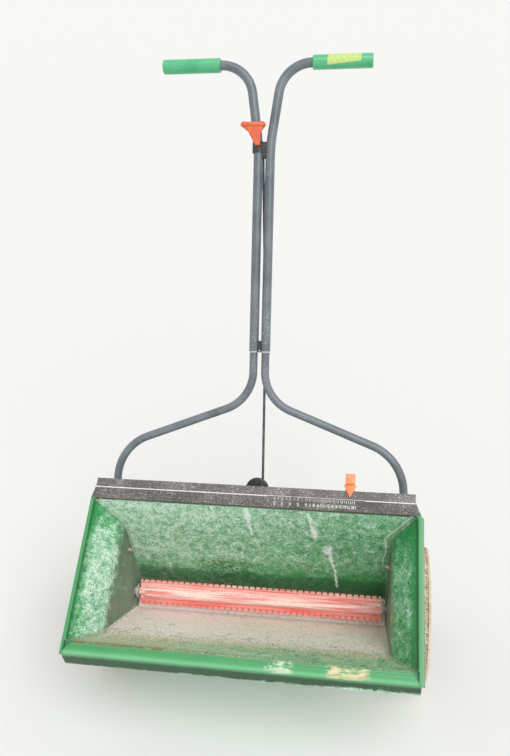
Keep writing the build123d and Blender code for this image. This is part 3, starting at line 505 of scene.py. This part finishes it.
# The line is broad at both ends and thin over the scale
line_half = 301.0
line_top = 1.0
scale_start = 30.0
scale_end = 210.0
printed_bars("scale_line", (
    (-line_half, scale_start, line_top, line_top + 1.9),
    (scale_start, scale_end, line_top, line_top + 0.8),
    (scale_end, line_half, line_top, line_top + 1.9),
))

# Numbers 2 to 6 stand a wide step apart, and those above a narrow one
first_number = 2
last_wide = 6
last_number = 18
first_x = 44.5
wide_step = 14.6
narrow_step = 7.4
number_x = [first_x + wide_step * step for step in range(last_wide - first_number + 1)]
number_x += [number_x[-1] + narrow_step * step for step in range(1, last_number - last_wide + 1)]
tick_top = 3.4
tick_width = 0.9
tick_length = 5.8
half_tick_width = 0.7
half_tick_length = 4.6
ticks = []
for number, x in enumerate(number_x, first_number):
    step = narrow_step if number >= last_wide else wide_step
    ticks.append((x - tick_width / 2, x + tick_width / 2, tick_top, tick_top + tick_length))
    if number < last_number:
        left = x + step / 2 - half_tick_width / 2
        ticks.append((left, left + half_tick_width, tick_top, tick_top + half_tick_length))
printed_bars("scale_ticks", ticks)

# The numbers read from behind, so their tops point down the slope
digit_height = 6.3
capital_share = 0.7
digit_foot = tick_top + 9.2
for number, x in enumerate(number_x, first_number):
    figure = bpy.data.curves.new(f"scale_number_{number}", "FONT")
    figure.body = str(number)
    figure.align_x = "CENTER"
    figure.size = digit_height * mm / capital_share
    figure.space_character = 0.9
    figure.extrude = ink_thickness * mm
    writing = bpy.data.objects.new(figure.name, figure)
    bpy.context.scene.collection.objects.link(writing)
    down_slope = (slope_point(x, 20) - slope_point(x, 10)).normalized()
    outward = (slope_point(x, 10, 1) - slope_point(x, 10, 0)).normalized()
    reading = down_slope.cross(outward)
    turn = Matrix((reading, down_slope, outward)).transposed().to_4x4()
    writing.matrix_world = Matrix.Translation(slope_point(x, digit_foot, 0)) @ turn
    figure.materials.append(screen_ink)
    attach(writing, "frame")

# Rate pointer: a moulded arrow of orange acetal that slides along the ledge, with a block for the thumb.
# It is stiff enough to grip the ledge, and its face is slick under a little dust.
acetal_orange = dusty_plastic("acetal_orange", "#F3864F", "#F89C6A", "#F8D6BC", 0.08, 0.42)
dress(acetal_orange, "rate_pointer")

# Shutter, its rails and the wire lever: zinc-plated mild steel, dulled by fertiliser and flecked with rust.
# The strip slides in two folded rails under the floor, and the lever moves it from the crank.
def plated_steel_finish(name, colour, tarnish, rust_level, roughness=0.38):
    """Zinc plate over steel: a cool dull metal with grey bloom and small rust spots."""
    made = start_material(name, {"Metallic": 1.0})
    tree = made.node_tree
    place = object_millimetres(tree)
    bloom = cloud(tree, place, 12.0, 5.0)
    metal = add(tree, "Mix", (bloom, linear(colour), linear(tarnish)), **colours)
    rust = speckle(tree, place, 3.0, rust_level)
    rusted = add(tree, "Mix", (rust, metal, linear("#6B4430")), **colours)
    matt = add(tree, "MapRange", (bloom, 0.0, 1.0, roughness, roughness + 0.22), **smooth)
    connect(made, colour=rusted, roughness=matt)
    return made


zinc_plated_steel = plated_steel_finish("zinc_plated_steel", "#B9BBBD", "#8E9093", 0.12)
dress(zinc_plated_steel, "shutter", "shutter_rail_front", "shutter_rail_rear", "shutter_lever")

# Bushes, axle and caps: grey nylon bushes pressed into the end walls, and a plated steel bar that runs in
# them. A pressed cap on each end of the bar holds the wheels.
nylon_grey = dusty_plastic("nylon_grey", "#838985", "#9BA09B", "#D5D1C8", 0.3, 0.55)
dress(nylon_grey, "bush_left", "bush_right")
dress(zinc_plated_steel, "axle", "axle_cap_left", "axle_cap_right")

# Agitator: a bar of red polypropylene with two notched fins. Its core is pale in long streaks, partly
# rubbed by seed and partly a painted highlight; the fin that points down keeps its colour, and grime sits
# where the fins meet the core.
def about_axle(tree):
    """The place in millimetres from the middle of the axle, and the distance from its line."""
    position = add(tree, "TexCoord", output="Object")
    place = add(tree, "Mapping", {
        "Vector": position, "Location": -axle_middle / mm, "Scale": (1 / mm, 1 / mm, 1 / mm),
    })
    off_line = add(tree, "VectorMath", {0: place, 1: (0.0, 1.0, 1.0)}, operation="MULTIPLY")
    return place, add(tree, "VectorMath", {0: off_line}, output="Value", operation="LENGTH")


rubbed_polypropylene = start_material("rubbed_polypropylene", {"IOR": 1.49})
tree = rubbed_polypropylene.node_tree
place, radius = about_axle(tree)
core_radius = 11.0
fin_roll = radians(60.0)
across = add(tree, "SeparateXYZ", {"Vector": place}, output="X")
fin_line = (0.0, cos(fin_roll), sin(fin_roll))
up_fin = add(tree, "VectorMath", {0: place, 1: fin_line}, output="Value", operation="DOT_PRODUCT")
streak_place = add(tree, "Mapping", {"Vector": place, "Scale": (1 / 110.0, 1 / 3.6, 1 / 3.6)})
streaks = cloud(tree, streak_place, 1.0, 4.0)
on_core = add(tree, "MapRange", (radius, core_radius + 1.5, core_radius + 0.4), **smooth)
below_core = add(tree, "MapRange", (up_fin, -core_radius + 1.0, -core_radius - 1.0), **smooth)
beyond_core = add(tree, "MapRange", (radius, core_radius, core_radius + 1.5), **smooth)
lower_fin = add(tree, "Math", (below_core, beyond_core), operation="MULTIPLY")
# The core is paler than the fins: seed wear and a painted highlight
pale_wear_and_highlight_level = add(tree, "Mix", (on_core, 0.5, 0.8))
pale_wear_and_highlight_level = add(tree, "Math", (lower_fin, -0.26, pale_wear_and_highlight_level), operation="MULTIPLY_ADD")
middle_dust = band(tree, across, -260.0, -120.0, 0.0, 150.0)
middle_dust = add(tree, "Math", (middle_dust, on_core), operation="MULTIPLY")
pale_wear_and_highlight_level = add(tree, "Math", (middle_dust, 0.36, pale_wear_and_highlight_level), operation="MULTIPLY_ADD")
streak_share = add(tree, "MapRange", (streaks, 0.15, 0.8, 0.2, 1.3), **smooth)
pale = add(tree, "Math", (pale_wear_and_highlight_level, streak_share), operation="MULTIPLY")
red = add(tree, "Mix", (cloud(tree, place, 40.0), linear("#EA4C3E"), linear("#F26A5E")), **colours)
pale_share = add(tree, "Math", (pale, 0.95), operation="MINIMUM")
streaked = add(tree, "Mix", (pale_share, red, linear("#FFE0D8")), **colours)
root_gap = apart(tree, radius, core_radius + 1.0)
grime_level = add(tree, "MapRange", (root_gap, 2.5, 0.5, -0.2, 0.2), **smooth)
grime_right = add(tree, "MapRange", (across, 150.0, 250.0, 0.0, 0.1), **smooth)
grime_level = add(tree, "Math", (grime_level, grime_right), operation="ADD")
grime = speckle(tree, place, 3.2, grime_level, 0.25)
grimed = stain(tree, streaked, "#9A6A50", grime, 0.7)
agitator_matt = add(tree, "MapRange", (pale, 0.0, 1.0, 0.42, 0.75), **smooth)
agitator_relief = add(tree, "Bump", {"Strength": 0.3, "Distance": 0.5 * mm, "Height": streaks})
connect(rubbed_polypropylene, colour=grimed, roughness=agitator_matt, normal=agitator_relief)
dress(rubbed_polypropylene, "agitator")

# Wheels: one moulding each of black polyethylene, with ribs round the tread. Tan dust coats the ribs, and
# the grooves get less, so they stay dark as painted shade. A thinner coat lies on the web and the spokes.
moulded_polyethylene = start_material("moulded_polyethylene", {"IOR": 1.5})
tree = moulded_polyethylene.node_tree
place, radius = about_axle(tree)
tread_floor = 125.0
on_tread = add(tree, "MapRange", (radius, tread_floor - 1.5, tread_floor - 0.5), **smooth)
# Painted shade: less dust in the tread's grooves, so they stay dark
tread_dust_and_shade_level = add(tree, "MapRange", (radius, tread_floor + 0.4, tread_floor + 1.4, 0.62, 1.2), **smooth)
ring_place = add(tree, "Mapping", {"Vector": place, "Scale": (1 / 3.5, 1 / 90.0, 1 / 90.0)})
rings = add(tree, "Math", (cloud(tree, ring_place, 1.0, 3.0), 0.5), operation="SUBTRACT")
web_drift = add(tree, "Math", (cloud(tree, place, 40.0), 0.5), operation="SUBTRACT")
drift = add(tree, "Mix", (on_tread, web_drift, rings))
wheel_level = add(tree, "Mix", (on_tread, 0.2, tread_dust_and_shade_level))
wheel_level = add(tree, "Math", (drift, 0.35, wheel_level), operation="MULTIPLY_ADD")
dusty = speckle(tree, place, 3.0, wheel_level, 0.35)
web_film = add(tree, "Math", (dusty, 0.35), operation="MULTIPLY")
web_patches = add(tree, "MapRange", (cloud(tree, place, 45.0, 5.0), 0.1, 0.9, 0.08, 0.4), **smooth)
web_film = add(tree, "Math", (web_film, web_patches), operation="ADD")
dusty = add(tree, "Mix", (on_tread, web_film, dusty))
dust_tone = add(tree, "Mix", (cloud(tree, place, 30.0), linear("#EADCC2"), linear("#CBB292")), **colours)
tyre = add(tree, "Mix", (dusty, linear("#302E2C"), dust_tone), **colours)
tyre_matt = add(tree, "MapRange", (dusty, 0.0, 1.0, 0.5, 0.9), **smooth)
connect(moulded_polyethylene, colour=tyre, roughness=tyre_matt)
dress(moulded_polyethylene, "wheel_left", "wheel_right")

# Handle tubes: welded steel tube, bent cold and powder coated in slate grey. The coat is scratched to pale
# specks, mostly near the joint, and a pale ring at the upper tubes' lower ends is a painted highlight.
handle_rise = radians(60.0)
knee_back = 24.12
knee_up = 161.57
handle_foot = axle_middle / mm + Vector((0, knee_back, knee_up))
handle_run = Vector((0, cos(handle_rise), sin(handle_rise)))
handle_front = Vector((0, -sin(handle_rise), cos(handle_rise)))
joint_s = 357.0


def handle_point(x, s, lift=0.0):
    """A point in metres at x and s up the handle, lifted square to it towards the front."""
    return (handle_foot + Vector((x, 0, 0)) + handle_run * s + handle_front * lift) * mm


powder_coat = start_material("powder_coat", {"IOR": 1.52})
tree = powder_coat.node_tree
place = object_millimetres(tree)
up_handle = add(tree, "VectorMath", {0: place, 1: handle_run}, output="Value", operation="DOT_PRODUCT")
up_handle = add(tree, "Math", (up_handle, handle_foot.dot(handle_run)), operation="SUBTRACT")
tone = cloud(tree, place, 45.0)
coat = add(tree, "Mix", (tone, linear("#5E666C"), linear("#767F85")), **colours)
near_joint = band(tree, up_handle, 200.0, 350.0, 380.0, 520.0)
scratch_level = add(tree, "Math", (tone, 0.14, -0.05), operation="MULTIPLY_ADD")
scratch_level = add(tree, "Math", (near_joint, 0.16, scratch_level), operation="MULTIPLY_ADD")
long_place = add(tree, "Mapping", {"Vector": place, "Scale": (1.0, 0.45, 0.45)})
scratches = speckle(tree, long_place, 2.2, scratch_level, 0.2)
scratched = stain(tree, coat, "#BDB9B2", scratches, 0.8)
# Painted highlight: a pale ring at the upper tubes' lower ends
end_highlight = band(tree, up_handle, joint_s - 1.0, joint_s, joint_s + 1.6, joint_s + 2.6)
coat_with_end_highlight = add(tree, "Mix", (end_highlight, scratched, linear("#C9C5BE")), **colours)
coat_rough = add(tree, "MapRange", (tone, 0.0, 1.0, 0.26, 0.36), **smooth)
peel = cloud(tree, place, 2.5, 2.0)
orange_peel = add(tree, "Bump", {"Strength": 0.15, "Distance": 0.15 * mm, "Height": peel})
connect(powder_coat, colour=coat_with_end_highlight, roughness=coat_rough, normal=orange_peel)
dress(powder_coat, "lower_tube_left", "lower_tube_right", "upper_tube_left", "upper_tube_right")

# Tube bolts: two M6 steel bolts through each end wall's pad and tube, with a low domed head outside. The
# lower one's nut and washer are inside the hopper, and the upper one's behind its rear wall. The zinc has
# gone chalky.
sharp_edge = radians(38.0)


def turned(name, foot, direction, stacks, material, body="frame"):
    """A piece of stacks about a line from foot. A stack is its sides, then pairs of radius and height."""
    along = direction.normalized()
    square = along.orthogonal().normalized()
    other = along.cross(square)
    points = []
    faces = []
    for sides, profile in stacks:
        first = len(points)
        for radius, rise in profile:
            for side in range(sides):
                turn = 2 * pi * side / sides
                out = (square * cos(turn) + other * sin(turn)) * radius
                points.append(foot + (along * rise + out) * mm)
        for ring in range(len(profile) - 1):
            low = first + ring * sides
            faces += [
                (low + side, low + (side + 1) % sides, low + sides + (side + 1) % sides, low + sides + side)
                for side in range(sides)
            ]
        faces.append(tuple(range(first + sides - 1, first - 1, -1)))
        faces.append(tuple(range(len(points) - sides, len(points))))
    piece = new_piece(name, points, faces, material, body)
    piece.data.shade_smooth()
    piece.data.set_sharp_from_angle(angle=sharp_edge)
    return piece


chalky_zinc = plated_steel_finish("chalky_zinc", "#C9C6BD", "#A79F90", 0.24, 0.55)
bolt_places = {"lower": (64.0, 89.0, 261.9), "upper": (92.4, 119.9, 259.5)}
nut_stack = (
    (24, ((6.2, 0.0), (6.2, 0.9), (5.9, 1.2))),
    (6, ((5.7, 1.0), (5.7, 5.2), (4.9, 6.0))),
    (16, ((3.0, 5.0), (3.0, 8.2), (2.4, 8.9))),
)
head_stack = ((24, ((6.4, -0.5), (6.4, 0.5), (5.4, 1.6), (3.4, 2.3), (1.2, 2.6))),)
tube_outer_x = 290.1
sides = (("left", -1), ("right", 1))
for side_name, side in sides:
    for bolt_name, (a, b, inner_x) in bolt_places.items():
        inner = hopper_point(side * inner_x, a, b)
        outer = hopper_point(side * tube_outer_x, a, b)
        outward = Vector((side, 0, 0))
        turned(f"tube_nut_{bolt_name}_{side_name}", inner, -outward, nut_stack, chalky_zinc)
        turned(f"tube_bolt_{bolt_name}_{side_name}", outer, outward, head_stack, zinc_plated_steel)

# Spacer, crank and brackets: mouldings of black glass-filled nylon, matt and a little dusty. They are
# clamped between the tubes or screwed to the rear wall.
filled_nylon = dusty_plastic("filled_nylon", "#2B2B2C", "#3C3B3A", "#9A958D", 0.14, 0.55)
dress(filled_nylon, "tube_clip", "trigger_bracket", "crank_disc", "crank_bracket")

# Screws: zinc-plated steel. A small domed one is in the spacer's front, and two hexagon-headed ones with a
# washer hold the crank bracket's foot to the rear wall.
screw_stack = (
    (20, ((4.8, -0.4), (4.8, 0.7), (4.4, 1.0))),
    (6, ((3.9, 0.9), (3.9, 3.6), (3.2, 4.2))),
)
small_stack = ((16, ((2.0, -0.3), (2.0, 0.7), (1.5, 1.4), (0.6, 1.7))),)
spacer_front = 6.0
spacer_middle = handle_point(0.0, joint_s + 3.2, spacer_front)
turned("spacer_screw", spacer_middle, handle_front, small_stack, zinc_plated_steel)
hopper_wall = 3.0
bracket_thickness = 3.0
outward_rear = back_along_rim * cos(rear_draft) - up_from_floor * sin(rear_draft)


def rear_outside(x, b, thickness):
    """A point on what lies that thick on the outside of the rear wall, at height b."""
    a = rear_foot + (hopper_wall + thickness) / cos(rear_draft) + b * tan(rear_draft)
    return hopper_point(x, a, b)


bracket_screw_x = 10.5
bracket_screw_height = 62.0
for side_name, side in sides:
    foot = rear_outside(side * bracket_screw_x, bracket_screw_height, bracket_thickness)
    turned(f"bracket_screw_{side_name}", foot, outward_rear, screw_stack, zinc_plated_steel)

# Grips: soft green vinyl, dipped and smooth, with a rounded outer end. They are pushed over the tube ends
# and hold by their own squeeze.
dipped_vinyl = start_material("dipped_vinyl", {"IOR": 1.53, "Coat Weight": 0.2})
tree = dipped_vinyl.node_tree
place = object_millimetres(tree)
hue = cloud(tree, place, 50.0, 3.0)
vinyl = add(tree, "Mix", (hue, linear("#43AC74"), linear("#5CBF8A")), **colours)
scuff_place = add(tree, "Mapping", {"Vector": place, "Scale": (1 / 14.0, 1 / 3.0, 1 / 3.0)})
scuff = add(tree, "MapRange", (cloud(tree, scuff_place, 1.0, 4.0), 0.7, 1.0, 0.0, 0.4), **smooth)
scuffed_vinyl = add(tree, "Mix", (scuff, vinyl, linear("#8FD9AE")), **colours)
vinyl_matt = add(tree, "MapRange", (scuff, 0.0, 0.4, 0.3, 0.6), **smooth)
connect(dipped_vinyl, colour=scuffed_vinyl, roughness=vinyl_matt)
dress(dipped_vinyl, "grip_left", "grip_right")

# Tape: a blank strip of fluorescent yellow masking tape, wound askew over the right grip by hand. Its crepe
# has fine ridges across it, and its edges lift a little.
creped_paper = start_material("creped_paper", {"IOR": 1.5, "Roughness": 0.8})
tree = creped_paper.node_tree
place = object_millimetres(tree)
crepe_place = add(tree, "Mapping", {"Vector": place, "Scale": (1 / 1.4, 1 / 9.0, 1 / 9.0)})
crepe = cloud(tree, crepe_place, 1.0, 3.0)
paper_tone = add(tree, "MapRange", (crepe, 0.2, 0.9), **smooth)
paper = add(tree, "Mix", (paper_tone, linear("#CFE792"), linear("#B4D272")), **colours)
crepe_relief = add(tree, "Bump", {"Strength": 0.5, "Distance": 0.3 * mm, "Height": crepe})
connect(creped_paper, colour=paper, normal=crepe_relief)
grip_low, grip_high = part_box("grip_right")
grip_middle = (grip_low + grip_high) / 2
grip_radius = (grip_high.z - grip_low.z) / 2 / mm
tape_start = 116.0
tape_end = 179.0
tape_lift = 0.1
tape_wrap = 250.0
foot_left = 194.0
foot_right = 170.0
lifting_edge = 0.14
tape_columns = 26
tape_rows = 34
points = []
for column in range(tape_columns + 1):
    share = column / tape_columns
    foot_turn = foot_left + (foot_right - foot_left) * share
    for row in range(tape_rows + 1):
        turn = radians(foot_turn - tape_wrap * row / tape_rows)
        wrinkle = 0.12 * sin(9.0 * share + 4.0 * turn) ** 2
        near_edge = max(0.0, abs(2 * share - 1) - 1 + lifting_edge) / lifting_edge
        edge_lift = 0.5 * near_edge * sin(3.0 * turn) ** 2
        lift = tape_lift + (wrinkle + edge_lift) * max(0.0, -cos(turn))
        x = (tape_start + (tape_end - tape_start) * share + 1.6 * sin(turn + 0.6)) * mm
        out = Vector((0, cos(turn), sin(turn))) * (grip_radius + lift) * mm
        points.append(Vector((x, grip_middle.y, grip_middle.z)) + out)
row_length = tape_rows + 1
faces = []
for column in range(tape_columns):
    for start in range(column * row_length, column * row_length + tape_rows):
        faces.append((start, start + row_length, start + row_length + 1, start + 1))
tape = new_piece("grip_tape", points, faces, creped_paper)
tape.data.shade_smooth()
tape_thickness = tape.modifiers.new("paper", "SOLIDIFY")
tape_thickness.thickness = 0.15 * mm
tape_thickness.offset = -1.0

# Trigger: moulded orange acetal like the pointer, rubbed a shade lighter in patches. It sits in a
# bracket in front of the tubes, and two fingers pull it.
trigger_acetal = dusty_plastic("trigger_acetal", "#DE5F3A", "#E87A52", "#EFB297", 0.04, 0.42)
dress(trigger_acetal, "trigger")

# Control rod: drawn steel wire, blackened by handling. It runs down behind the tubes, from the trigger
# bracket to the crank disc.
drawn_wire = plated_steel_finish("drawn_wire", "#6E6F72", "#4C4C4F", 0.1)
dress(drawn_wire, "control_rod")

# Rest stand: one length of steel rod, bent cold, in the handle's powder coat. Two pressed steel saddles
# hold it to the rear wall, with a screw in each ear.
dress(powder_coat, "rest_stand")
dress(zinc_plated_steel, "stand_saddle_left", "stand_saddle_right")
stand_half = 150.0
ear_offset = 14.3
saddle_height = 100.0
saddle_thickness = 2.5
for side_name, side in sides:
    for ear_name, ear in (("inner", -1), ("outer", 1)):
        foot = rear_outside(side * (stand_half + ear * ear_offset), saddle_height, saddle_thickness)
        turned(f"saddle_screw_{ear_name}_{side_name}", foot, outward_rear, screw_stack, zinc_plated_steel)

# Studio: a pale floor, a wide soft light from above the right front and an even sky. It stands in for the
# overcast yard of the photograph.
floor_half = 30.0
floor_corners = [(x * floor_half, y * floor_half, 0) for x, y in ((-1, -1), (1, -1), (1, 1), (-1, 1))]
floor_mesh = bpy.data.meshes.new("studio_floor")
floor_mesh.from_pydata(floor_corners, [], [(0, 1, 2, 3)])
studio_floor = bpy.data.objects.new("studio_floor", floor_mesh)
bpy.context.scene.collection.objects.link(studio_floor)
floor_paint = start_material("floor_paint", {"Roughness": 0.8, "Base Color": linear("#E9E9E7")})
floor_mesh.materials.append(floor_paint)

world = bpy.data.worlds.new("studio_sky")
bpy.context.scene.world = world
world.use_nodes = True
tree = world.node_tree
tree.nodes.clear()
camera_ray = add(tree, "LightPath", output="Is Camera Ray")
glossy_ray = add(tree, "LightPath", output="Is Glossy Ray")
shown = add(tree, "Math", (camera_ray, glossy_ray), operation="MAXIMUM")
sky_light = 0.62
strength = add(tree, "Mix", (shown, sky_light, 1.0))
sky = add(tree, "Background", {"Color": (1.0, 1.0, 1.0, 1.0), "Strength": strength})
add(tree, "OutputWorld", {"Surface": sky})

lamp = bpy.data.lights.new("overcast_sun", "SUN")
lamp.energy = 1.9
lamp.angle = radians(50.0)
overcast_sun = bpy.data.objects.new("overcast_sun", lamp)
bpy.context.scene.collection.objects.link(overcast_sun)
sun_direction = Vector((-0.38, 0.5, -1.0))
overcast_sun.rotation_euler = sun_direction.to_track_quat("-Z", "Y").to_euler()

# Camera: at the photograph's viewing angle. Its place is measured from the axle and the ground, and it has
# the yaw, pitch, roll and focal length that the photograph was fitted with.
camera_place = Vector((0.20856, axle_middle.y - 1.01284, 1.32681))
yaw = radians(-10.309)
pitch = radians(32.550)
roll = radians(-3.796)
focal_pixels = 738.71
image_height = 756
sensor_width = 36.0
forward = Vector((sin(yaw) * cos(pitch), cos(yaw) * cos(pitch), -sin(pitch)))
level_right = Vector((cos(yaw), -sin(yaw), 0))
level_up = level_right.cross(forward)
right = cos(roll) * level_right + sin(roll) * level_up
up = -sin(roll) * level_right + cos(roll) * level_up
lens = bpy.data.cameras.new("photo_camera")
lens.sensor_width = sensor_width
lens.lens = focal_pixels / image_height * sensor_width
photo_camera = bpy.data.objects.new("photo_camera", lens)
bpy.context.scene.collection.objects.link(photo_camera)
turn = Matrix((right, up, -forward)).transposed().to_4x4()
photo_camera.matrix_world = Matrix.Translation(camera_place) @ turn
bpy.context.scene.camera = photo_camera
bpy.context.scene.view_settings.view_transform = "Standard"
